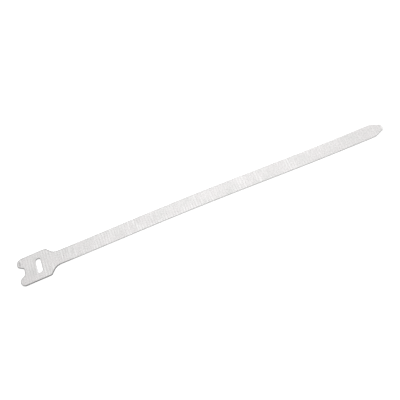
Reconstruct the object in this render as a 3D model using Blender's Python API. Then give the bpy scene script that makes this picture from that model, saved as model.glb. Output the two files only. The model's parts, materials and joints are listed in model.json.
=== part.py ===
"""A hook and loop cable tie: one strip die-cut from a ribbed textile tape, lying flat.

Metres, +Z up. X runs along the strap from the slotted head at -X to the tip at +X,
and the origin is under the middle of the tie, on the surface that it lies on.
The strap's free tip goes round a bundle, through the slot and back onto itself.
"""

import math

import bmesh
import bpy
import numpy as np

# Strap
OVERALL_LENGTH = 0.330
STRAP_WIDTH = 0.0125
THICKNESS = 0.0018

# Tip, tapered so that it threads through the slot
TIP_TAPER = 0.0088
TIP_END_WIDTH = 0.0048
TIP_SHOULDER_RADIUS = 0.0075
TIP_END_RADIUS = 0.0018

# Slot that the strap is threaded through
SLOT_CLEARANCE = 0.0002
SLOT_OPENING = 0.0047
SLOT_CORNER_RADIUS = 0.0022

# Head, built out from the slot by the webs that are left round it
SIDE_WEB = 0.0061
FRONT_WEB = 0.0103
REAR_WEB = 0.0061
SHOULDER_RUN = 0.0054
SHOULDER_RADIUS = 0.0016
NECK_RADIUS = 0.0086

# Notch in the head's end, where the tip of the next tie on the tape was cut out
NOTCH_DEPTH = 0.0051
NOTCH_CLEARANCE = 0.0003
NOTCH_FLOOR_RADIUS = 0.0008
LOBE_WIDTH = 0.0065
LOBE_OUTER_RADIUS = 0.0041
LOBE_INNER_RADIUS = 0.0018

# Ribs that cross the top face, and the dips that they leave in the long edges
RIB_PITCH = 0.0023
RIB_HEIGHT = 0.00028
EDGE_DIP = 0.00012
RIB_STATIONS = (0.0, 0.2, 0.5, 0.8)

# The slight sideways wave that the strap lies in, and the bend that its head lies in
BOW_RISE = 0.0014
BOW_WAVE = 0.268
HEAD_BEND = 0.00075
HEAD_BEND_RUN = 0.036

ARC_STEP = math.radians(15)
JOIN_DISTANCE = 0.000002
ON_PLANE = 0.00002
FLAT_ANGLE = math.radians(0.5)

COLOUR = (0.76, 0.75, 0.74, 1.0)
ROUGHNESS = 0.9

# Sizes that follow from the ones above
SLOT_LENGTH = STRAP_WIDTH + 2 * SLOT_CLEARANCE
SLOT_START = NOTCH_DEPTH + FRONT_WEB
SLOT_END = SLOT_START + SLOT_OPENING
SLOT_CENTRE = (SLOT_START + SLOT_END) / 2
SHOULDER_X = SLOT_END + REAR_WEB
NECK_X = SHOULDER_X + SHOULDER_RUN
HEAD_WIDTH = SLOT_LENGTH + 2 * SIDE_WEB
NOTCH_MOUTH = HEAD_WIDTH - 2 * LOBE_WIDTH
NOTCH_FLOOR = TIP_END_WIDTH + 2 * NOTCH_CLEARANCE
TIP_X = OVERALL_LENGTH - TIP_TAPER


def clear_scene():
    """Remove what the startup scene holds."""
    for thing in list(bpy.data.objects):
        bpy.data.objects.remove(thing, do_unlink=True)


def edges_at(corners, index):
    """The two edges that meet at a corner, as vectors away from it, and half the angle between them."""
    corner = np.array(corners[index][:2])
    back = np.array(corners[index - 1][:2]) - corner
    ahead = np.array(corners[(index + 1) % len(corners)][:2]) - corner
    cosine = back @ ahead / (np.linalg.norm(back) * np.linalg.norm(ahead))
    return back, ahead, math.acos(float(np.clip(cosine, -1.0, 1.0))) / 2


def arc_setbacks(corners):
    """How far from each corner its arc starts. Two arcs too large for their edge share its length."""
    wanted = []
    lengths = []
    for index, (_, _, radius) in enumerate(corners):
        _, ahead, half_angle = edges_at(corners, index)
        wanted.append(radius / math.tan(half_angle))
        lengths.append(float(np.linalg.norm(ahead)))
    shares = []
    for index, length in enumerate(lengths):
        both = wanted[index] + wanted[(index + 1) % len(wanted)]
        shares.append(min(1.0, length / both))
    return [
        setback * min(shares[index - 1], shares[index]) for index, setback in enumerate(wanted)
    ]


def rounded(corners):
    """The points of a closed outline whose corners, given as (x, y, radius), become arcs."""
    points = []
    setbacks = arc_setbacks(corners)
    for index, (x, y, _) in enumerate(corners):
        corner = np.array((x, y))
        back, ahead, half_angle = edges_at(corners, index)
        back = back / np.linalg.norm(back)
        ahead = ahead / np.linalg.norm(ahead)
        setback = setbacks[index]
        radius = setback * math.tan(half_angle)
        middle = (back + ahead) / np.linalg.norm(back + ahead)
        centre = corner + middle * radius / math.sin(half_angle)
        start = corner + back * setback - centre
        end = corner + ahead * setback - centre
        sweep = math.pi - 2 * half_angle
        steps = max(2, math.ceil(sweep / ARC_STEP))
        for step in range(steps + 1):
            turn = sweep * step / steps
            weights = math.sin(sweep - turn), math.sin(turn)
            spoke = (weights[0] * start + weights[1] * end) / math.sin(sweep)
            points.append(tuple(centre + spoke))
    return points


def tie_outline():
    """The tie seen from above, from the head's end at x = 0, round to the notch."""
    upper_side = [
        (0.0, HEAD_WIDTH / 2, LOBE_OUTER_RADIUS),
        (SHOULDER_X, HEAD_WIDTH / 2, SHOULDER_RADIUS),
        (NECK_X, STRAP_WIDTH / 2, NECK_RADIUS),
        (TIP_X, STRAP_WIDTH / 2, TIP_SHOULDER_RADIUS),
        (OVERALL_LENGTH, TIP_END_WIDTH / 2, TIP_END_RADIUS),
    ]
    upper_notch = [
        (NOTCH_DEPTH, NOTCH_FLOOR / 2, NOTCH_FLOOR_RADIUS),
        (0.0, NOTCH_MOUTH / 2, LOBE_INNER_RADIUS),
    ]
    upper = upper_notch + upper_side
    lower = [(x, -y, radius) for x, y, radius in reversed(upper)]
    return rounded(upper + lower)


def slot_outline():
    """The slot seen from above."""
    half = SLOT_LENGTH / 2
    places = ((SLOT_START, -half), (SLOT_END, -half), (SLOT_END, half), (SLOT_START, half))
    return rounded([(x, y, SLOT_CORNER_RADIUS) for x, y in places])


def add_spline(curve, points):
    """Add one closed outline to a flat curve."""
    spline = curve.splines.new("POLY")
    spline.points.add(len(points) - 1)
    for place, (x, y) in zip(spline.points, points):
        place.co = (x, y, 0.0, 1.0)
    spline.use_cyclic_u = True


def plate_mesh():
    """The flat plate that the ribs are raised on: the outline with its slot, extruded."""
    curve = bpy.data.curves.new("tie_outline", "CURVE")
    curve.dimensions = "2D"
    curve.fill_mode = "BOTH"
    curve.extrude = THICKNESS / 2
    add_spline(curve, tie_outline())
    add_spline(curve, slot_outline())
    guide = bpy.data.objects.new("tie_outline", curve)
    bpy.context.scene.collection.objects.link(guide)
    bpy.context.view_layer.update()
    evaluated = guide.evaluated_get(bpy.context.evaluated_depsgraph_get())
    mesh = bpy.data.meshes.new_from_object(evaluated)
    bpy.data.objects.remove(guide, do_unlink=True)
    bpy.data.curves.remove(curve)
    return mesh


def rib_rows():
    """The lines across the tie at which its top face bends: their x, and the rib's share of height."""
    count = max(1, round(OVERALL_LENGTH / RIB_PITCH))
    pitch = OVERALL_LENGTH / count
    places = []
    shares = []
    for rib in range(count):
        for station in RIB_STATIONS:
            places.append((rib + station) * pitch)
            shares.append(math.sqrt(1 - (2 * station - 1) ** 2))
    places.append(OVERALL_LENGTH)
    shares.append(0.0)
    return places, shares


def cut_into_rows(body, places):
    """Cut the plate across at each line, so that its faces can bend there."""
    for x in places[1:-1]:
        geometry = body.verts[:] + body.edges[:] + body.faces[:]
        bmesh.ops.bisect_plane(
            body, geom=geometry, dist=ON_PLANE, plane_co=(x, 0.0, 0.0), plane_no=(1.0, 0.0, 0.0)
        )


def is_on_long_edge(vertex):
    """Whether a point is on one of the tie's long edges, and not in its slot or notch."""
    x, y = vertex.co.x, abs(vertex.co.y)
    beside_slot = y > SLOT_LENGTH / 2 + JOIN_DISTANCE
    if x < NOTCH_DEPTH:
        return y > HEAD_WIDTH / 2 - LOBE_OUTER_RADIUS
    if x < SHOULDER_X:
        return beside_slot
    return y > JOIN_DISTANCE


def bow(x):
    """How far the strap lies to the +Y side at x, with its head bent slightly to the other side."""
    along = max(0.0, x - SLOT_CENTRE)
    wave = BOW_RISE * (1 - math.cos(2 * math.pi * along / BOW_WAVE)) / 2
    before_neck = max(0.0, 1 - x / HEAD_BEND_RUN)
    return wave - HEAD_BEND * before_neck**2


def shape_ribs(body, places, shares):
    """Raise the ribs on the top face, dip the long edges between them and bow the strap."""
    for vertex in body.verts:
        share = float(np.interp(vertex.co.x, places, shares))
        if is_on_long_edge(vertex):
            vertex.co.y -= math.copysign(EDGE_DIP * (1 - share), vertex.co.y)
        if vertex.co.z > 0.0:
            vertex.co.z -= RIB_HEIGHT * (1 - share)
    for vertex in body.verts:
        vertex.co.y += bow(vertex.co.x)


def tape_material():
    """The tape's off-white woven nylon."""
    material = bpy.data.materials.new("white_nylon_tape")
    material.use_nodes = True
    shader = material.node_tree.nodes["Principled BSDF"]
    shader.inputs["Base Color"].default_value = COLOUR
    shader.inputs["Roughness"].default_value = ROUGHNESS
    shader.inputs["Metallic"].default_value = 0.0
    return material


def build_tie():
    """The tie as one named object, with its underside at z = 0."""
    mesh = plate_mesh()
    body = bmesh.new()
    body.from_mesh(mesh)
    bmesh.ops.remove_doubles(body, verts=body.verts, dist=JOIN_DISTANCE)
    bmesh.ops.dissolve_limit(
        body, angle_limit=FLAT_ANGLE, verts=body.verts, edges=body.edges, delimit={"NORMAL"}
    )
    places, shares = rib_rows()
    cut_into_rows(body, places)
    shape_ribs(body, places, shares)
    sides = [vertex.co.y for vertex in body.verts]
    middle = (min(sides) + max(sides)) / 2
    bmesh.ops.translate(
        body, verts=body.verts, vec=(-OVERALL_LENGTH / 2, -middle, THICKNESS / 2)
    )
    bmesh.ops.recalc_face_normals(body, faces=body.faces)
    body.to_mesh(mesh)
    body.free()
    mesh.name = "cable_tie"
    tie = bpy.data.objects.new("cable_tie", mesh)
    tie.data.materials.append(tape_material())
    return tie


def main():
    clear_scene()
    collection = bpy.data.collections.new("hook_and_loop_cable_tie")
    bpy.context.scene.collection.children.link(collection)
    collection.objects.link(build_tie())


main()
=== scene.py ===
"""The looks of a white hook and loop cable tie lying flat on a white table.

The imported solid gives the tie's plan, the places of its ribs and the slight sideways wave
that the strap lies in. Round it this script makes what the tape really has: an upper layer
of ribbed looped nylon, its pile of fine loops, a moulded film under it and the rows of small
hooks that stand on that film. Metres, with +X from the head to the tip and +Z up.
"""

import json
import logging
import math
import random
from collections.abc import Iterable
from dataclasses import dataclass, field
from enum import Enum

import bmesh
import bpy
import numpy as np
from bmesh.types import BMesh, BMVert
from mathutils import Matrix, Vector, kdtree, noise
from mathutils.bvhtree import BVHTree


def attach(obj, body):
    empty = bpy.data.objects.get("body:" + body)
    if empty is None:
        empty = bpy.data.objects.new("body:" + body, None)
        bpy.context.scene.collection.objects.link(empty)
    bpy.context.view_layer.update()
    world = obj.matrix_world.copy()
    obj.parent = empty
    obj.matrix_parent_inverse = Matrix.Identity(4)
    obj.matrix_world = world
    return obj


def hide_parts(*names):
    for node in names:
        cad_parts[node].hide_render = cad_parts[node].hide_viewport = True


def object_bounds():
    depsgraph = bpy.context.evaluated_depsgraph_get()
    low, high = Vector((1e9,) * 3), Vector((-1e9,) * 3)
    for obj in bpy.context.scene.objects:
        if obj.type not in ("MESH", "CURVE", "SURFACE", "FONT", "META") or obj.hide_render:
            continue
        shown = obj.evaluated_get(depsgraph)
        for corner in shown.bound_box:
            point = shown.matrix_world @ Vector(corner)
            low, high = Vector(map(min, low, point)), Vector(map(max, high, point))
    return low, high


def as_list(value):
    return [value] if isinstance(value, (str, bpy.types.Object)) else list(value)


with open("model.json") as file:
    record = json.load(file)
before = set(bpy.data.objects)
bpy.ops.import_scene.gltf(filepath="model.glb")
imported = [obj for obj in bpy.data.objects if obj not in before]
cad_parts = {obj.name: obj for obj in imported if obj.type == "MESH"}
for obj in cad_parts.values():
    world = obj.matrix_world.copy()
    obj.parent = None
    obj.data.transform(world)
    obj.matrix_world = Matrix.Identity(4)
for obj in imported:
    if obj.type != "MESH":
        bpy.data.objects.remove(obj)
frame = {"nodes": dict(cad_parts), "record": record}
cad_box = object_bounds()

LOG = logging.getLogger("cable_tie")
BODY = "root"
NODE = "cable_tie"
UP = Vector((0.0, 0.0, 1.0))
RAY_HEIGHT = 1.0
FIRST_PILE_SEED = 11

Socket = bpy.types.NodeSocket
Triple = tuple[float, float, float]


class Facing(Enum):
    """The end of the tie that a row of hooks points to."""

    HEAD = math.pi
    TIP = 0.0


class Tone(Enum):
    """The three shades that filaments of one tape have, as shares of its colour. On the pile they are
    painted highlight: loops take brighter shades where the ribs have highlight streaks, with a little
    random spread.
    """

    BRIGHT = 1.05
    EVEN = 1.0
    DULL = 0.95


class Stretch(Enum):
    """The stretches of the tie that hold a piece of pile each, as shares of its length."""

    HEAD = (0.0, 0.17)
    NEAR = (0.17, 0.44)
    MIDDLE = (0.44, 0.72)
    FAR = (0.72, 1.0)


def clamped(value: float) -> float:
    """A value held between 0 and 1."""
    return max(0.0, min(1.0, value))


def grey(level: float) -> tuple[float, float, float, float]:
    """A grey from black at 0 to white at 1, as a shader takes it."""
    return level, level, level, 1.0


@dataclass(frozen=True)
class NodeTree:
    """A material's node tree, with short calls that add nodes and join them."""

    tree: bpy.types.NodeTree

    @classmethod
    def of_new_material(cls, name: str) -> tuple[bpy.types.Material, "NodeTree"]:
        """Make a material that uses nodes.

        Args:
            name: The material's name.

        Returns:
            The material, and its node tree.
        """
        material = bpy.data.materials.new(name)
        material.use_nodes = True
        return material, cls(material.node_tree)

    @property
    def surface(self) -> bpy.types.Node:
        """The Principled shader that a new material starts with."""
        return self.tree.nodes["Principled BSDF"]

    def add(self, kind: str, **settings: object) -> bpy.types.Node:
        """Add a node.

        Args:
            kind: The node's type, without its ShaderNode prefix.
            settings: The node's properties and their values.

        Returns:
            The new node.
        """
        node = self.tree.nodes.new("ShaderNode" + kind)
        for name, value in settings.items():
            setattr(node, name, value)
        return node

    def join(self, source: Socket, target: Socket) -> None:
        """Link an output to an input."""
        self.tree.links.new(source, target)

    def noise(self, scale: Triple, detail: float) -> Socket:
        """Add noise on the piece's own coordinates.

        Args:
            scale: The noise's features for each metre along X, Y and Z.
            detail: The noise's finer octaves.

        Returns:
            The noise's value, about 0.5 on average.
        """
        place = self.add("TexCoord").outputs["Object"]
        mapping = self.add("Mapping")
        mapping.inputs["Scale"].default_value = scale
        self.join(place, mapping.inputs["Vector"])
        texture = self.add("TexNoise")
        texture.inputs["Scale"].default_value = 1.0
        texture.inputs["Detail"].default_value = detail
        self.join(mapping.outputs["Vector"], texture.inputs["Vector"])
        return texture.outputs["Fac"]

    def attribute(self, name: str) -> Socket:
        """Read a number that the mesh holds at its points or faces."""
        return self.add("Attribute", attribute_name=name).outputs["Fac"]

    def ramp(self, value: Socket, ends: tuple[float, float]) -> Socket:
        """Spread a value's range between two ends over 0 to 1."""
        node = self.add("MapRange")
        node.inputs["From Min"].default_value = ends[0]
        node.inputs["From Max"].default_value = ends[1]
        self.join(value, node.inputs["Value"])
        return node.outputs["Result"]

    def mix(self, share: Socket, first: Socket | Triple, second: Socket | Triple) -> Socket:
        """Mix two colours.

        Args:
            share: How much of the second colour there is.
            first: A colour, or an output that gives one.
            second: A colour, or an output that gives one.

        Returns:
            The mixed colour.
        """
        node = self.add("Mix", data_type="RGBA")
        self.join(share, node.inputs["Factor"])
        for socket, colour in ((node.inputs[6], first), (node.inputs[7], second)):
            if isinstance(colour, tuple):
                socket.default_value = (*colour, 1.0)
            else:
                self.join(colour, socket)
        return node.outputs[2]

    def bump(self, height: Socket, strength: float, depth: float) -> None:
        """Give the surface a fine relief.

        Args:
            height: The relief's height, from 0 to 1.
            strength: How much of the relief shows, from 0 to 1.
            depth: The relief's depth in metres.
        """
        node = self.add("Bump")
        node.inputs["Strength"].default_value = strength
        node.inputs["Distance"].default_value = depth
        self.join(height, node.inputs["Height"])
        self.join(node.outputs["Normal"], self.surface.inputs["Normal"])

    def split(self, seen: Socket, lit: Socket, output: Socket) -> None:
        """Show one shader to the camera, and let all other light meet another.

        Args:
            seen: The shader that the camera sees.
            lit: The shader that other light meets.
            output: The input that takes the result.
        """
        path = self.add("LightPath")
        mixed = self.add("MixShader")
        self.join(path.outputs["Is Camera Ray"], mixed.inputs["Fac"])
        self.join(lit, mixed.inputs[1])
        self.join(seen, mixed.inputs[2])
        self.join(mixed.outputs[0], output)


@dataclass(frozen=True)
class LoopedNylonFinish:
    """The ribbed white face: matt nylon, with painted highlights along its ribs, painted shade in the
    valleys between them and in fine hollows, and painted shade at its cut edge.
    """

    crest: Triple = (0.850, 0.828, 0.826)
    # painted shade: the colour of the valleys between the ribs
    valley: Triple = (0.680, 0.664, 0.662)
    # painted highlight: the colour of the bright streaks on the rib crests
    painted_highlight: Triple = (0.965, 0.960, 0.955)
    # painted shade and shadow at the cut edge, also used for the painted shade in the crease
    painted_edge_and_crease_shade: Triple = (0.250, 0.245, 0.242)
    cool: Triple = (0.740, 0.750, 0.735)
    # painted shade in the hollows of the fine nap
    painted_hollow_shade: Triple = (0.600, 0.590, 0.585)
    roughness: float = 0.88
    sheen: float = 0.12
    bump: float = 1.0
    bump_depth: float = 0.00010
    fibre_scale: Triple = (1900.0, 420.0, 1500.0)
    nap_scale: Triple = (6200.0, 3600.0, 5200.0)
    thread_detail: float = 3.0
    patch_scale: Triple = (62.0, 75.0, 0.0)
    patch_detail: float = 2.0
    cool_range: tuple[float, float] = (0.42, 0.95)
    fibre_range: tuple[float, float] = (0.50, 1.25)
    painted_hollow_shade_range: tuple[float, float] = (0.50, -0.15)

    def material(self) -> bpy.types.Material:
        """Build the finish from the face's own attributes and fine noise.

        Returns:
            The material.
        """
        material, nodes = NodeTree.of_new_material("looped_nylon")
        fibres = nodes.noise(self.fibre_scale, self.thread_detail)
        nap = nodes.noise(self.nap_scale, self.thread_detail)
        patches = nodes.noise(self.patch_scale, self.patch_detail)
        # painted shade: the valleys between the ribs take the greyer valley colour
        colour = nodes.mix(nodes.attribute("crest"), self.valley, self.crest)
        colour = nodes.mix(nodes.ramp(patches, self.cool_range), colour, self.cool)
        # painted highlight: fine noise along the threads mixes in short streaks of the highlight
        # colour
        colour = nodes.mix(nodes.ramp(fibres, self.fibre_range), colour, self.painted_highlight)
        # painted shade: darker where the fine nap relief sinks, in its hollows
        colour = nodes.mix(nodes.ramp(nap, self.painted_hollow_shade_range), colour, self.painted_hollow_shade)
        # painted highlight on the rib crests, in short uneven streaks
        colour = nodes.mix(nodes.attribute("painted_highlight"), colour, self.painted_highlight)
        # painted shade at the cut edge and in the crease
        colour = nodes.mix(nodes.attribute("painted_edge_and_crease_shade"), colour, self.painted_edge_and_crease_shade)
        surface = nodes.surface
        nodes.join(colour, surface.inputs["Base Color"])
        surface.inputs["Roughness"].default_value = self.roughness
        surface.inputs["Sheen Weight"].default_value = self.sheen
        nodes.bump(nap, self.bump, self.bump_depth)
        return material


@dataclass(frozen=True)
class FilmFinish:
    """The moulded film under the loops: white plastic, a little greyer and smoother, with painted
    shade on its cut walls.
    """

    colour: Triple = (0.73, 0.725, 0.715)
    light_patch: Triple = (0.79, 0.785, 0.775)
    # painted shade on the film's cut walls
    painted_wall_shade: Triple = (0.250, 0.245, 0.240)
    roughness: float = 0.45
    bump: float = 0.2
    bump_depth: float = 0.00004
    grain_scale: Triple = (900.0, 900.0, 900.0)
    grain_detail: float = 2.0

    def material(self) -> bpy.types.Material:
        """Build the film's finish.

        Returns:
            The material.
        """
        material, nodes = NodeTree.of_new_material("moulded_film")
        grain = nodes.noise(self.grain_scale, self.grain_detail)
        surface = nodes.surface
        colour = nodes.mix(grain, self.colour, self.light_patch)
        # painted shade on the walls, as strong as the edge's painted shade there
        colour = nodes.mix(nodes.attribute("painted_wall_shade"), colour, self.painted_wall_shade)
        nodes.join(colour, surface.inputs["Base Color"])
        surface.inputs["Roughness"].default_value = self.roughness
        nodes.bump(grain, self.bump, self.bump_depth)
        return material


@dataclass(frozen=True)
class FilamentFinish:
    """Drawn nylon filament in three near shades, one material for each; on the pile the shades are
    painted highlight.
    """

    name: str
    colour: Triple
    roughness: float

    def materials(self) -> list[bpy.types.Material]:
        """Build one material for each shade.

        Returns:
            The materials, in the order of Tone.
        """
        made = []
        for tone in Tone:
            material, nodes = NodeTree.of_new_material(f"{self.name}_{tone.name.lower()}")
            shade = [min(1.0, part * tone.value) for part in self.colour]
            nodes.surface.inputs["Base Color"].default_value = (*shade, 1.0)
            nodes.surface.inputs["Roughness"].default_value = self.roughness
            made.append(material)
        return made


@dataclass
class TiePlan:
    """The tie seen from above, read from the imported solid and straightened."""

    merge_distance: float = 0.000002
    flat_height: float = 0.00001
    flat_angle: float = math.radians(0.2)
    row_gap: float = 0.0005
    slot_reach: float = 0.0026
    crests: list[float] = field(init=False, default_factory=list)
    middles: list[float] = field(init=False, default_factory=list)
    half_widths: list[float] = field(init=False, default_factory=list)

    def __post_init__(self) -> None:
        """Read the ribs' places, and the strap's middle and half width at each."""
        mesh = frame["nodes"][NODE].data
        places = np.empty(len(mesh.vertices) * 3, np.float32)
        mesh.vertices.foreach_get("co", places)
        places = places.reshape(-1, 3).astype(float)
        on_crest = places[places[:, 2] > places[:, 2].max() - self.merge_distance]
        on_crest = on_crest[np.argsort(on_crest[:, 0])]
        breaks = np.flatnonzero(np.diff(on_crest[:, 0]) > self.row_gap) + 1
        for row in np.split(on_crest, breaks):
            low, high = row[:, 1].min(), row[:, 1].max()
            self.crests.append(float(row[:, 0].min() + row[:, 0].max()) / 2)
            self.middles.append(float(low + high) / 2)
            self.half_widths.append(float(high - low) / 2)

    @property
    def pitch(self) -> float:
        """The distance from one rib to the next."""
        return (self.crests[-1] - self.crests[0]) / (len(self.crests) - 1)

    @property
    def start(self) -> float:
        """Where the head ends, at -X."""
        return self.crests[0] - self.pitch / 2

    @property
    def length(self) -> float:
        """The tie's whole length."""
        return self.pitch * len(self.crests)

    @property
    def slot_box(self) -> tuple[list[float], list[float]]:
        """The lowest and highest corner of the record's opening for the strap."""
        low, high = frame["record"]["physics"]["openings"][0]["box_m"]
        return low, high

    @property
    def cut_size(self) -> tuple[float, float]:
        """The width and length of the tape that the tie is cut from."""
        return 2 * max(self.half_widths), self.length

    @property
    def cut_area(self) -> float:
        """The area of one face of the tie, without its slot and notch."""
        sheet = self.sheet()
        area = sum(face.calc_area() for face in sheet.faces)
        sheet.free()
        return area

    def middle(self, x: float) -> float:
        """How far to the +Y side the strap lies at x."""
        return float(np.interp(x, self.crests, self.middles))

    def is_at_slot(self, x: float, y: float) -> bool:
        """Whether a point of the straightened plan is in the strap's slot or just round it."""
        low, high = self.slot_box
        along = low[0] - self.slot_reach < x < high[0] + self.slot_reach
        return along and low[1] - self.slot_reach < y < high[1] + self.slot_reach

    def share(self, x: float) -> float:
        """How far along the tie x is, from 0 at the head's end to 1 at the tip."""
        return (x - self.start) / self.length

    def rib_number(self, x: float) -> int:
        """The number of the rib at x, counted from the head's end."""
        return math.floor((x - self.start) / self.pitch)

    def rib_share(self, x: float) -> float:
        """How far along its rib x is, from 0 to 1. The crest is at 0.5."""
        return ((x - self.start) / self.pitch) % 1.0

    def sheet(self) -> BMesh:
        """Make the plan as a flat sheet facing down at z = 0, straightened.

        Returns:
            A bmesh of a few large faces, with the slot and the notch cut out.
        """
        body = bmesh.new()
        body.from_mesh(frame["nodes"][NODE].data)
        bmesh.ops.remove_doubles(body, verts=body.verts, dist=self.merge_distance)
        upper = [face for face in body.faces if face.calc_center_median().z > self.flat_height]
        bmesh.ops.delete(body, geom=upper, context="FACES")
        bmesh.ops.dissolve_limit(
            body,
            angle_limit=self.flat_angle,
            verts=body.verts,
            edges=body.edges,
            delimit={"NORMAL"},
        )
        for vertex in body.verts:
            vertex.co.y -= self.middle(vertex.co.x)
        return body

    def lay_in_wave(self, body: BMesh) -> None:
        """Move a straightened shape back into the wave that the strap lies in."""
        for vertex in body.verts:
            vertex.co.y += self.middle(vertex.co.x)


def look_down(faces: BVHTree, x: float, y: float) -> Vector | None:
    """Where a ray that falls straight down on a point of the plan first hits, if anywhere."""
    return faces.ray_cast(Vector((x, y, RAY_HEIGHT)), -UP)[0]


@dataclass
class Outline:
    """The tie's cut edge, for telling what is inside it and how far from it."""

    plan: TiePlan
    spacing: float = 0.0001
    tree: kdtree.KDTree = field(init=False)
    faces: BVHTree = field(init=False)

    def __post_init__(self) -> None:
        """Spread points along the edge and keep the plan's faces for tests from above."""
        sheet = self.plan.sheet()
        edges = [edge for edge in sheet.edges if edge.is_boundary]
        points = []
        for edge in edges:
            start, end = (vertex.co for vertex in edge.verts)
            steps = max(1, math.ceil(edge.calc_length() / self.spacing))
            points += [start.lerp(end, step / steps) for step in range(steps)]
        self.tree = kdtree.KDTree(len(points))
        for index, point in enumerate(points):
            self.tree.insert((point.x, point.y, 0.0), index)
        self.tree.balance()
        bmesh.ops.triangulate(sheet, faces=sheet.faces)
        self.faces = BVHTree.FromBMesh(sheet)
        sheet.free()

    def distance(self, x: float, y: float) -> float:
        """How far a point of the straightened plan is from the cut edge."""
        return self.tree.find((x, y, 0.0))[2]

    def holds(self, x: float, y: float, margin: float) -> bool:
        """Whether a point is inside the tie and at least the margin from its edge."""
        if self.distance(x, y) < margin:
            return False
        return look_down(self.faces, x, y) is not None


@dataclass
class PaintedEdgeShade:
    """Painted shade and shadow at the tape's cut edge: darkest round the die-cut head, lighter along
    the strap.
    """

    plan: TiePlan
    outline: Outline
    head: float = 1.0
    slot_front: float = 0.0
    slot_rear: float = 0.80
    strap: float = 0.03
    strap_far_side: float = 0.50
    far_side_fade: tuple[float, float] = (0.60, 0.82)
    strap_start: float = 0.043
    blend: float = 0.014
    reach: float = 0.00042

    def share(self, x: float, y: float) -> float:
        """How much painted edge shade a point has, from 0 to 1."""
        near = math.exp(-((self.outline.distance(x, y) / self.reach) ** 2))
        return near * self.strength(x, y)

    def strength(self, x: float, y: float) -> float:
        """How strong the painted shade at the edge near a point is, from 0 to 1."""
        if self.plan.is_at_slot(x, y):
            low, high = self.plan.slot_box
            return float(np.interp(x, (low[0], high[0]), (self.slot_front, self.slot_rear)))
        strap = self.strap
        if y > 0.0:
            share = self.plan.share(x)
            strap = np.interp(share, self.far_side_fade, (self.strap_far_side, strap))
        turn = self.strap_start - self.blend, self.strap_start + self.blend
        return float(np.interp(x - self.plan.start, turn, (self.head, strap)))


@dataclass
class Crease:
    """The crushed groove behind the first rib of one lobe, whose end was bent. It is pressed into the
    face, and painted shade darkens it.
    """

    plan: TiePlan
    rib: int = 1
    side: float = 0.0083
    half_length: float = 0.0021
    half_width: float = 0.00105
    # how dark the painted shade in the crease is
    strength: float = 0.50
    depth: float = 0.00012

    def nearness(self, x: float, y: float) -> float:
        """How near a point is to the middle of the crease, from 0 to 1."""
        off = (x - self.plan.start - self.rib * self.plan.pitch) / self.half_width
        along = (y - self.side) / self.half_length
        return math.exp(-(off**2) - along**4)

    def share(self, x: float, y: float) -> float:
        """How much painted shade the crease puts on a point, from 0 to the crease's strength."""
        return self.strength * self.nearness(x, y)

    def sink(self, x: float, y: float) -> float:
        """How far the face is pressed in at a point."""
        return self.depth * self.nearness(x, y)


@dataclass(frozen=True)
class Unevenness:
    """Smooth noise over the plan, which rises and sinks about a level.

    Its scale is how fast it changes: with x along the noise's first axis, and with y along
    the other two. Its seed is the place in the noise that x and y are counted from.
    """

    scale: Triple
    seed: Triple
    level: float = 0.0
    gain: float = 1.0

    def at(self, x: float, y: float) -> float:
        """The noise at a point, where x may also be a rib's number."""
        place = Vector((
            self.seed[0] + x * self.scale[0],
            self.seed[1] + y * self.scale[1],
            self.seed[2] + y * self.scale[2],
        ))
        return self.level + self.gain * noise.noise(place)


def face_outwards(body: BMesh) -> None:
    """Turn a closed shape's faces outwards, also where it is too small for the operator alone."""
    bmesh.ops.recalc_face_normals(body, faces=body.faces)
    if body.calc_volume(signed=True) < 0.0:
        bmesh.ops.reverse_faces(body, faces=body.faces)


def put_in_scene(name: str, body: BMesh, materials: Iterable[bpy.types.Material]) -> bpy.types.Object:
    """Turn a finished bmesh into a piece that rides on the tie's body.

    Args:
        name: The piece's name.
        body: The bmesh, which is freed.
        materials: The piece's materials, in the order of its slots.

    Returns:
        The piece, at the origin.
    """
    mesh = bpy.data.meshes.new(name)
    body.to_mesh(mesh)
    body.free()
    for material in materials:
        mesh.materials.append(material)
    piece = bpy.data.objects.new(name, mesh)
    bpy.context.scene.collection.objects.link(piece)
    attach(piece, BODY)
    return piece


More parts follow.
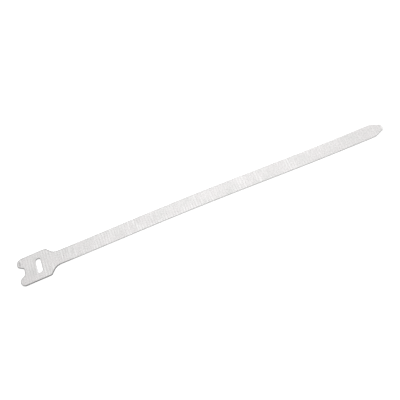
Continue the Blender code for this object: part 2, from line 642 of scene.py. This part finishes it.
@dataclass
class TapeLayer:
    """A layer of the tape: the plan cut into small faces and given a thickness."""

    plan: TiePlan
    bottom: float
    top: float
    stations: tuple[float, ...]
    row_spacing: float
    rings: tuple[float, ...] = ()
    snap: float = 0.00004

    def cut(self, body: BMesh, place: Vector, normal: Vector) -> None:
        """Cut every face that a plane crosses."""
        geometry = body.verts[:] + body.edges[:] + body.faces[:]
        bmesh.ops.bisect_plane(
            body, geom=geometry, dist=self.snap, plane_co=place, plane_no=normal
        )

    def cut_sheet(self) -> BMesh:
        """Cut the plan into rings along its edge, across at stations of each rib, and along in rows.

        Returns:
            The flat sheet of small faces.
        """
        body = self.plan.sheet()
        inner = body.faces[:]
        for width in self.rings:
            bmesh.ops.inset_region(
                body, faces=inner, thickness=width, use_boundary=True, use_even_offset=True
            )
        for rib in range(len(self.plan.crests)):
            for station in self.stations:
                x = self.plan.start + (rib + station) * self.plan.pitch
                if x > self.plan.start:
                    self.cut(body, Vector((x, 0.0, 0.0)), Vector((1.0, 0.0, 0.0)))
        rows = int(max(self.plan.half_widths) / self.row_spacing)
        for row in range(-rows, rows + 1):
            y = row * self.row_spacing
            self.cut(body, Vector((0.0, y, 0.0)), Vector((0.0, 1.0, 0.0)))
        return body

    def slab(self, wall_rows: Iterable[float]) -> BMesh:
        """Give the cut sheet its thickness.

        Args:
            wall_rows: The heights at which the cut edge is divided again.

        Returns:
            The closed slab.
        """
        body = self.cut_sheet()
        bmesh.ops.translate(body, verts=body.verts, vec=UP * self.bottom)
        raised = bmesh.ops.extrude_face_region(body, geom=body.faces[:])
        upper = [item for item in raised["geom"] if isinstance(item, BMVert)]
        bmesh.ops.translate(body, verts=upper, vec=UP * (self.top - self.bottom))
        for height in wall_rows:
            self.cut(body, UP * height, UP)
        face_outwards(body)
        return body

    def upper_points(self, body: BMesh) -> list[BMVert]:
        """The points of a slab's upper face."""
        return [vertex for vertex in body.verts if vertex.co.z > self.top - self.snap]


@dataclass
class LoopedFace:
    """The upper layer: knitted nylon with uneven ribs across it."""

    plan: TiePlan
    outline: Outline
    edge: PaintedEdgeShade
    crease: Crease
    finish: LoopedNylonFinish = LoopedNylonFinish()
    bottom: float = 0.00082
    pile_height: float = 0.00012
    rib_height: float = 0.00026
    rib_fullness: float = 2.2
    rib_unevenness: float = 0.45
    rib_fading: Unevenness = Unevenness((7.31, 1 / 0.011, 0.0), (0.0, 0.0, 0.5), 0.5, 0.9)
    wander: Unevenness = Unevenness((260.0, 190.0, 0.0), (0.0, 0.0, 3.0), gain=0.00022)
    calm_rib: float = 0.30
    calm_places: Unevenness = Unevenness(
        (1 / 0.012, 1 / 0.012, 0.0), (0.0, 0.0, 21.0), 0.55, 1.7
    )
    worn_tip: float = 0.60
    worn_start: float = 0.30
    rim_reach: float = 0.0021
    rim_clusters: Unevenness = Unevenness((1 / 0.019, 0.0, 0.0), (0.0, 3.3, 13.0), 0.2, 2.6)
    rim_shine: float = 0.8
    thread_shine: Unevenness = Unevenness((3.17, 1 / 0.011, 0.0), (0.0, 0.0, 9.0), 0.5, 1.8)
    shine_clusters: Unevenness = Unevenness(
        (1 / 0.014, 0.0, 1 / 0.042), (0.0, 4.0, 0.0), 0.55, 1.6
    )
    crest_width: float = 0.45
    nap: Unevenness = Unevenness((1500.0, 900.0, 0.0), (0.0, 0.0, 1.0), gain=0.00005)
    edge_round: float = 0.00030
    edge_fray: float = 0.00005
    fray_scale: float = 1900.0
    flat_normal: float = 0.9
    wall_row: float = 0.00045
    sharp_angle: float = math.radians(55)
    stations: tuple[float, ...] = (0.0, 0.1, 0.2, 0.35, 0.5, 0.65, 0.8, 0.9)
    row_spacing: float = 0.0006
    rings: tuple[float, ...] = (0.00010, 0.00020)

    @property
    def top(self) -> float:
        """The height of the highest ribs, under their pile."""
        return cad_box[1][2] - self.pile_height

    def across_rib(self, x: float, y: float) -> float:
        """How far a point is from its rib's crest, from 0 to 1, on ribs that wander a little."""
        return abs(2.0 * self.plan.rib_share(x + self.wander.at(x, y)) - 1.0)

    def rib_profile(self, across: float) -> float:
        """A rib's height from valley to crest, from 0 to 1, at a distance from its crest."""
        return math.sqrt(max(0.0, 1.0 - across**self.rib_fullness))

    def rounding(self, x: float, y: float) -> float:
        """How far the upper face curves down at a point near the cut edge."""
        inward = clamped(self.outline.distance(x, y) / self.edge_round)
        return self.edge_round * (1.0 - math.sqrt(1.0 - (1.0 - inward) ** 2))

    def relief(self, x: float) -> float:
        """How much of the ribs' relief and shine is left at x, where the strap wears to its tip."""
        worn = (self.plan.share(x) - self.worn_start) / (1.0 - self.worn_start)
        return 1.0 - self.worn_tip * clamped(worn)

    def rim_share(self, x: float, y: float) -> float:
        """How clearly the ribs' ends stand out at a point near the -Y edge, in clusters."""
        if y > 0.0:
            return 0.0
        near = math.exp(-((self.outline.distance(x, y) / self.rim_reach) ** 2))
        return near * clamped(self.rim_clusters.at(x, y))

    def rib_strength(self, x: float, y: float) -> float:
        """How strongly the rib at a point stands out, with gentle gaps and calmer stretches."""
        shown = max(
            self.calm_rib, min(1.0, self.calm_places.at(x, y)), self.rim_share(x, y)
        )
        faded = self.rib_unevenness * self.rib_fading.at(self.plan.rib_number(x), y)
        return self.relief(x) * shown * (1.0 - faded)

    def painted_highlight_share(self, x: float, y: float) -> float:
        """How much painted highlight the thread at a point has, in short uneven streaks along the
        ribs.
        """
        thread = self.thread_shine.at(self.plan.rib_number(x), y)
        shine = thread * self.shine_clusters.at(x, y) + self.rim_shine * self.rim_share(x, y)
        return self.relief(x) * clamped(shine)

    def mark(self, body: BMesh) -> None:
        """Write the shares that the finish reads at each point."""
        crest = body.verts.layers.float.new("crest")
        painted_highlight = body.verts.layers.float.new("painted_highlight")
        painted_edge_and_crease_shade = body.verts.layers.float.new("painted_edge_and_crease_shade")
        for vertex in body.verts:
            x, y = vertex.co.x, vertex.co.y
            across = self.across_rib(x, y)
            on_crest = math.exp(-((across / self.crest_width) ** 2))
            # the crest share sinks the valleys and also gives them painted shade in the finish
            vertex[crest] = 1.0 - self.rib_strength(x, y) * (1.0 - self.rib_profile(across))
            # painted highlight: bright streaks on the rib crests
            vertex[painted_highlight] = self.painted_highlight_share(x, y) * on_crest
            # painted shade at the cut edge and in the crease
            vertex[painted_edge_and_crease_shade] = max(self.edge.share(x, y), self.crease.share(x, y))

    def fray(self, body: BMesh, above: float) -> None:
        """Push the cut wall's points in and out a little, above a height."""
        body.normal_update()
        for vertex in body.verts:
            if vertex.normal.z < self.flat_normal and vertex.co.z > above:
                push = noise.noise(vertex.co * self.fray_scale) * self.edge_fray
                vertex.co += Vector((vertex.normal.x, vertex.normal.y, 0.0)) * push

    def press_in(self, body: BMesh, points: Iterable[BMVert]) -> None:
        """Sink points of the upper face between the ribs, at the crease and at the cut edge."""
        crest = body.verts.layers.float["crest"]
        for vertex in points:
            x, y = vertex.co.x, vertex.co.y
            valley = self.rib_height * (1.0 - vertex[crest])
            sink = valley + abs(self.nap.at(x, y)) + self.crease.sink(x, y)
            vertex.co.z -= max(sink, self.rounding(x, y))

    def build(self) -> bpy.types.Object:
        """Make the face with its ribs, and its marks for the finish.

        Returns:
            The piece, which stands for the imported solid.
        """
        layer = TapeLayer(
            self.plan, self.bottom, self.top, self.stations, self.row_spacing, self.rings
        )
        body = layer.slab([self.top - self.wall_row])
        self.mark(body)
        upper = layer.upper_points(body)
        self.fray(body, self.bottom + layer.snap)
        self.press_in(body, upper)
        self.plan.lay_in_wave(body)
        piece = put_in_scene("looped_face", body, [self.finish.material()])
        piece.data.shade_smooth()
        piece.data.set_sharp_from_angle(angle=self.sharp_angle)
        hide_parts(NODE)
        return piece


@dataclass
class HookFilm:
    """The thin moulded film under the loops, which carries the hooks."""

    plan: TiePlan
    edge: PaintedEdgeShade
    finish: FilmFinish = FilmFinish()
    bottom: float = 0.00042
    top: float = 0.00082
    inset: float = 0.00005
    wall_normal: float = 0.5
    rim_normal: float = 0.1
    stations: tuple[float, ...] = (0.0, 0.5)
    row_spacing: float = 0.0024

    def build(self) -> bpy.types.Object:
        """Make the film.

        Returns:
            The piece.
        """
        layer = TapeLayer(self.plan, self.bottom, self.top, self.stations, self.row_spacing)
        body = layer.slab([])
        painted_wall_shade = body.faces.layers.float.new("painted_wall_shade")
        body.normal_update()
        for face in body.faces:
            # painted shade on the film's walls, as strong as the edge's painted shade there
            if abs(face.normal.z) < self.wall_normal:
                middle = face.calc_center_median()
                face[painted_wall_shade] = self.edge.strength(middle.x, middle.y)
        for vertex in body.verts:
            sideways = Vector((vertex.normal.x, vertex.normal.y, 0.0))
            if sideways.length > self.rim_normal:
                vertex.co -= sideways.normalized() * self.inset
        self.plan.lay_in_wave(body)
        return put_in_scene("hook_film", body, [self.finish.material()])


@dataclass
class HookField:
    """The rows of small moulded hooks under the film, each row facing the other way."""

    plan: TiePlan
    outline: Outline
    finish: FilamentFinish = FilamentFinish("moulded_hook", (0.74, 0.735, 0.72), 0.4)
    sides: int = 4
    root: float = 0.00044
    root_radius: float = 0.00016
    stem_radius: float = 0.00009
    tip_radius: float = 0.00005
    crook_radius: float = 0.00013
    crook_turn: float = math.radians(215)
    crook_steps: int = 4
    spacing: float = 0.00116
    row_spacing: float = 0.0008
    margin: float = 0.0004
    turn_jitter: float = 0.08
    seed: int = 5

    def one_hook(self) -> bpy.types.Mesh:
        """Make one hook that hangs from the film and curls towards +X.

        Returns:
            The hook's mesh, with its lowest point at z = 0.
        """
        body = bmesh.new()
        bmesh.ops.create_circle(
            body, cap_ends=True, segments=self.sides, radius=self.root_radius
        )
        bmesh.ops.translate(body, verts=body.verts, vec=UP * self.root)
        stem_end = self.crook_radius + self.stem_radius
        ring = body.edges[:]
        stem = bmesh.ops.extrude_edge_only(body, edges=ring)
        stem_verts = [item for item in stem["geom"] if isinstance(item, BMVert)]
        bmesh.ops.translate(body, verts=stem_verts, vec=UP * (stem_end - self.root))
        shrink = self.stem_radius / self.root_radius
        bmesh.ops.scale(body, verts=stem_verts, vec=(shrink, shrink, 1.0))
        last = [item for item in stem["geom"] if isinstance(item, bmesh.types.BMEdge)]
        last = [edge for edge in last if all(vertex in stem_verts for vertex in edge.verts)]
        turned = bmesh.ops.spin(
            body,
            geom=last,
            cent=(self.crook_radius, 0.0, stem_end),
            axis=(0.0, -1.0, 0.0),
            steps=self.crook_steps,
            angle=self.crook_turn,
        )
        tip = [item for item in turned["geom_last"] if isinstance(item, BMVert)]
        middle = sum((vertex.co for vertex in tip), Vector()) / len(tip)
        narrow = self.tip_radius / self.stem_radius
        bmesh.ops.scale(
            body, verts=tip, vec=(narrow, narrow, narrow), space=Matrix.Translation(-middle)
        )
        bmesh.ops.contextual_create(body, geom=tip)
        face_outwards(body)
        mesh = bpy.data.meshes.new("one_hook")
        body.to_mesh(mesh)
        body.free()
        return mesh

    def build(self) -> bpy.types.Object:
        """Set the hooks out in rows along the strap.

        Returns:
            The piece.
        """
        hook = self.one_hook()
        chance = random.Random(self.seed)
        body = bmesh.new()
        rows = int(max(self.plan.half_widths) / self.row_spacing)
        for row in range(-rows, rows + 1):
            facing = Facing.TIP if row % 2 else Facing.HEAD
            stagger = self.spacing / 2 if row % 2 else 0.0
            for step in range(int(self.plan.length / self.spacing)):
                x = self.plan.start + stagger + step * self.spacing
                y = row * self.row_spacing
                if not self.outline.holds(x, y, self.margin):
                    continue
                turn = facing.value + chance.uniform(-self.turn_jitter, self.turn_jitter)
                place = Matrix.Translation((x, y, 0.0)) @ Matrix.Rotation(turn, 4, UP)
                hook.transform(place)
                body.from_mesh(hook)
                hook.transform(place.inverted())
        bpy.data.meshes.remove(hook)
        self.plan.lay_in_wave(body)
        for face in body.faces:
            face.smooth = True
        return put_in_scene("hook_field", body, self.finish.materials())


@dataclass
class LoopPile:
    """The pile of fine loops that stands on the ribs, over one stretch of the tie."""

    face: LoopedFace
    surface: BVHTree
    name: str
    begin: float
    end: float
    seed: int
    finish: FilamentFinish = FilamentFinish("pile_filament", (0.885, 0.872, 0.868), 0.8)
    thread_radius: float = 0.000016
    thread_sides: int = 3
    loop_radius: float = 0.00028
    loop_steps: int = 6
    spacing: float = 0.00052
    margin: float = 0.00022
    foot: float = 0.00006
    turn_spread: float = 0.8
    lean_spread: float = 0.7
    size_range: tuple[float, float] = (0.7, 1.25)
    height_share: float = 0.8
    tone_jitter: float = 0.25

    def one_loop(self) -> bpy.types.Mesh:
        """Make one upright half ring of thread, with its feet at z = 0.

        Returns:
            The loop's mesh.
        """
        body = bmesh.new()
        bmesh.ops.create_circle(
            body, cap_ends=False, segments=self.thread_sides, radius=self.thread_radius
        )
        bmesh.ops.translate(body, verts=body.verts, vec=(0.0, -self.loop_radius, 0.0))
        first = body.verts[:]
        turned = bmesh.ops.spin(
            body,
            geom=body.edges[:],
            cent=(0.0, 0.0, 0.0),
            axis=(-1.0, 0.0, 0.0),
            steps=self.loop_steps,
            angle=math.pi,
        )
        last = [item for item in turned["geom_last"] if isinstance(item, BMVert)]
        bmesh.ops.contextual_create(body, geom=last)
        bmesh.ops.contextual_create(body, geom=first)
        face_outwards(body)
        mesh = bpy.data.meshes.new("one_loop")
        body.to_mesh(mesh)
        body.free()
        return mesh

    def places(self, chance: random.Random) -> Iterable[tuple[float, float]]:
        """Spread places over this stretch of the straightened plan, jittered from a grid.

        Args:
            chance: The source of the jitter.

        Yields:
            The x and y of each place that is inside the outline.
        """
        half = max(self.face.plan.half_widths)
        columns = int((self.end - self.begin) / self.spacing)
        rows = int(2 * half / self.spacing)
        for column in range(columns):
            for row in range(rows):
                x = self.begin + (column + chance.random()) * self.spacing
                y = -half + (row + chance.random()) * self.spacing
                if self.face.outline.holds(x, y, self.margin):
                    yield x, y

    def tone(self, x: float, y: float, jitter: float) -> int:
        """The shade of the loop at a point, by its place in Tone: painted highlight, bright where the
        ribs have highlight streaks.
        """
        shine = self.face.painted_highlight_share(x, y) + jitter
        return max(0, min(len(Tone) - 1, int(len(Tone) * (1.0 - shine))))

    def build(self) -> bpy.types.Object:
        """Stand the loops on the ribs.

        Returns:
            The piece.
        """
        loop = self.one_loop()
        chance = random.Random(self.seed)
        body = bmesh.new()
        for x, y in self.places(chance):
            turn = chance.gauss(0.0, self.turn_spread)
            lean = chance.gauss(0.0, self.lean_spread)
            size = chance.uniform(*self.size_range)
            tone = self.tone(x, y, chance.uniform(-self.tone_jitter, self.tone_jitter))
            hit = look_down(self.surface, x, y + self.face.plan.middle(x))
            if hit is None:
                continue
            place = (
                Matrix.Translation(hit - UP * self.foot)
                @ Matrix.Rotation(turn, 4, "Z")
                @ Matrix.Rotation(lean, 4, "Y")
                @ Matrix.Diagonal((1.0, size, size * self.height_share, 1.0))
            )
            for polygon in loop.polygons:
                polygon.material_index = tone
            loop.transform(place)
            body.from_mesh(loop)
            loop.transform(place.inverted())
        bpy.data.meshes.remove(loop)
        return put_in_scene(self.name, body, self.finish.materials())


@dataclass(frozen=True)
class Viewpoint:
    """The camera, held as the photograph was taken: from above, in front, and rolled."""

    azimuth: float = math.radians(-5.868)
    elevation: float = math.radians(62.253)
    roll: float = math.radians(-16.791)
    distance: float = 0.46442
    aim: Triple = (-0.00306, 0.00137, 0.0)
    lens: float = 49.5
    sensor: float = 36.0
    nearest: float = 0.01

    def build(self) -> None:
        """Put the camera in the scene."""
        back = Vector((
            math.sin(self.azimuth) * math.cos(self.elevation),
            -math.cos(self.azimuth) * math.cos(self.elevation),
            math.sin(self.elevation),
        ))
        right = Vector((math.cos(self.azimuth), math.sin(self.azimuth), 0.0))
        axes = Matrix((right, back.cross(right), back)).transposed()
        turned = axes @ Matrix.Rotation(self.roll, 3, "Z")
        place = Vector(self.aim) + back * self.distance
        data = bpy.data.cameras.new("view")
        data.lens = self.lens
        data.sensor_width = self.sensor
        data.clip_start = self.nearest
        camera = bpy.data.objects.new("view", data)
        camera.matrix_world = Matrix.Translation(place) @ turned.to_4x4()
        bpy.context.scene.collection.objects.link(camera)
        bpy.context.scene.camera = camera


@dataclass(frozen=True)
class Lamp:
    """A soft rectangular lamp that points at the tie."""

    name: str
    place: Triple
    aim: Triple
    side: float
    power: float

    def build(self) -> None:
        """Put the lamp in the scene."""
        data = bpy.data.lights.new(self.name, "AREA")
        data.size = self.side
        data.energy = self.power
        lamp = bpy.data.objects.new(self.name, data)
        direction = Vector(self.aim) - Vector(self.place)
        lamp.location = self.place
        lamp.rotation_euler = direction.to_track_quat("-Z", "Y").to_euler()
        bpy.context.scene.collection.objects.link(lamp)


@dataclass(frozen=True)
class Studio:
    """The white table, the lamp over it and the even light round the tie."""

    floor_side: float = 6.0
    floor_gap: float = 0.00005
    floor_lit_grey: float = 0.80
    floor_seen_grey: float = 0.50
    floor_glow: float = 0.80
    room_light: float = 0.40
    room_seen_light: float = 1.0
    key: Lamp = Lamp("key_lamp", (0.032, 0.12, 0.38), (0.005, 0.0, 0.0), 0.24, 1.19)

    def floor(self) -> None:
        """Lay the table: white to the eye, with the tie's shadow on it."""
        body = bmesh.new()
        bmesh.ops.create_grid(body, x_segments=1, y_segments=1, size=self.floor_side / 2)
        bmesh.ops.translate(body, verts=body.verts, vec=-UP * self.floor_gap)
        mesh = bpy.data.meshes.new("table")
        body.to_mesh(mesh)
        body.free()
        table = bpy.data.objects.new("table", mesh)
        bpy.context.scene.collection.objects.link(table)
        mesh.materials.append(self.floor_material())

    def floor_material(self) -> bpy.types.Material:
        """Build the table's finish.

        Returns:
            A material that light meets as pale paper and the eye sees as white.
        """
        material, nodes = NodeTree.of_new_material("white_table")
        nodes.tree.nodes.remove(nodes.surface)
        lit = nodes.add("BsdfDiffuse")
        lit.inputs["Color"].default_value = grey(self.floor_lit_grey)
        paper = nodes.add("BsdfDiffuse")
        paper.inputs["Color"].default_value = grey(self.floor_seen_grey)
        glow = nodes.add("Emission")
        glow.inputs["Strength"].default_value = self.floor_glow
        seen = nodes.add("AddShader")
        nodes.join(paper.outputs[0], seen.inputs[0])
        nodes.join(glow.outputs[0], seen.inputs[1])
        output = nodes.tree.nodes["Material Output"].inputs["Surface"]
        nodes.split(seen.outputs[0], lit.outputs[0], output)
        return material

    def room(self) -> None:
        """Light the room evenly, and show it as white."""
        world = bpy.data.worlds.new("room")
        bpy.context.scene.world = world
        world.use_nodes = True
        nodes = NodeTree(world.node_tree)
        lit = nodes.tree.nodes["Background"]
        seen = nodes.add("Background")
        for background, strength in ((lit, self.room_light), (seen, self.room_seen_light)):
            background.inputs["Color"].default_value = grey(1.0)
            background.inputs["Strength"].default_value = strength
        output = nodes.tree.nodes["World Output"].inputs["Surface"]
        nodes.split(seen.outputs[0], lit.outputs[0], output)

    def build(self) -> None:
        """Put the table, the light and the colour setting in the scene."""
        self.floor()
        self.room()
        self.key.build()
        bpy.context.scene.view_settings.view_transform = "Standard"


def pile_stretches(face: LoopedFace, piece: bpy.types.Object) -> Iterable[LoopPile]:
    """Divide the pile into stretches, so that each piece stays light.

    Args:
        face: The looped face that the pile stands on.
        piece: The face's finished piece.

    Yields:
        Each stretch of pile.
    """
    surface = BVHTree.FromObject(piece, bpy.context.evaluated_depsgraph_get())
    for seed, stretch in enumerate(Stretch, start=FIRST_PILE_SEED):
        begin, end = (face.plan.start + share * face.plan.length for share in stretch.value)
        yield LoopPile(face, surface, f"{stretch.name.lower()}_pile", begin, end, seed)


def main() -> None:
    """Build the tie's pieces, the studio and the view."""
    logging.basicConfig(level=logging.INFO, format="%(message)s")
    Viewpoint().build()
    Studio().build()
    plan = TiePlan()
    outline = Outline(plan)
    edge = PaintedEdgeShade(plan, outline)
    face = LoopedFace(plan, outline, edge, Crease(plan))
    pieces = [face.build(), HookFilm(plan, edge).build(), HookField(plan, outline).build()]
    pieces += [stretch.build() for stretch in pile_stretches(face, pieces[0])]
    plan.cut_size
    plan.cut_area
    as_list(pieces[1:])
    for piece in pieces:
        piece.data.calc_loop_triangles()
        LOG.info("%s: %d triangles", piece.name, len(piece.data.loop_triangles))


if __name__ == "__main__":
    main()
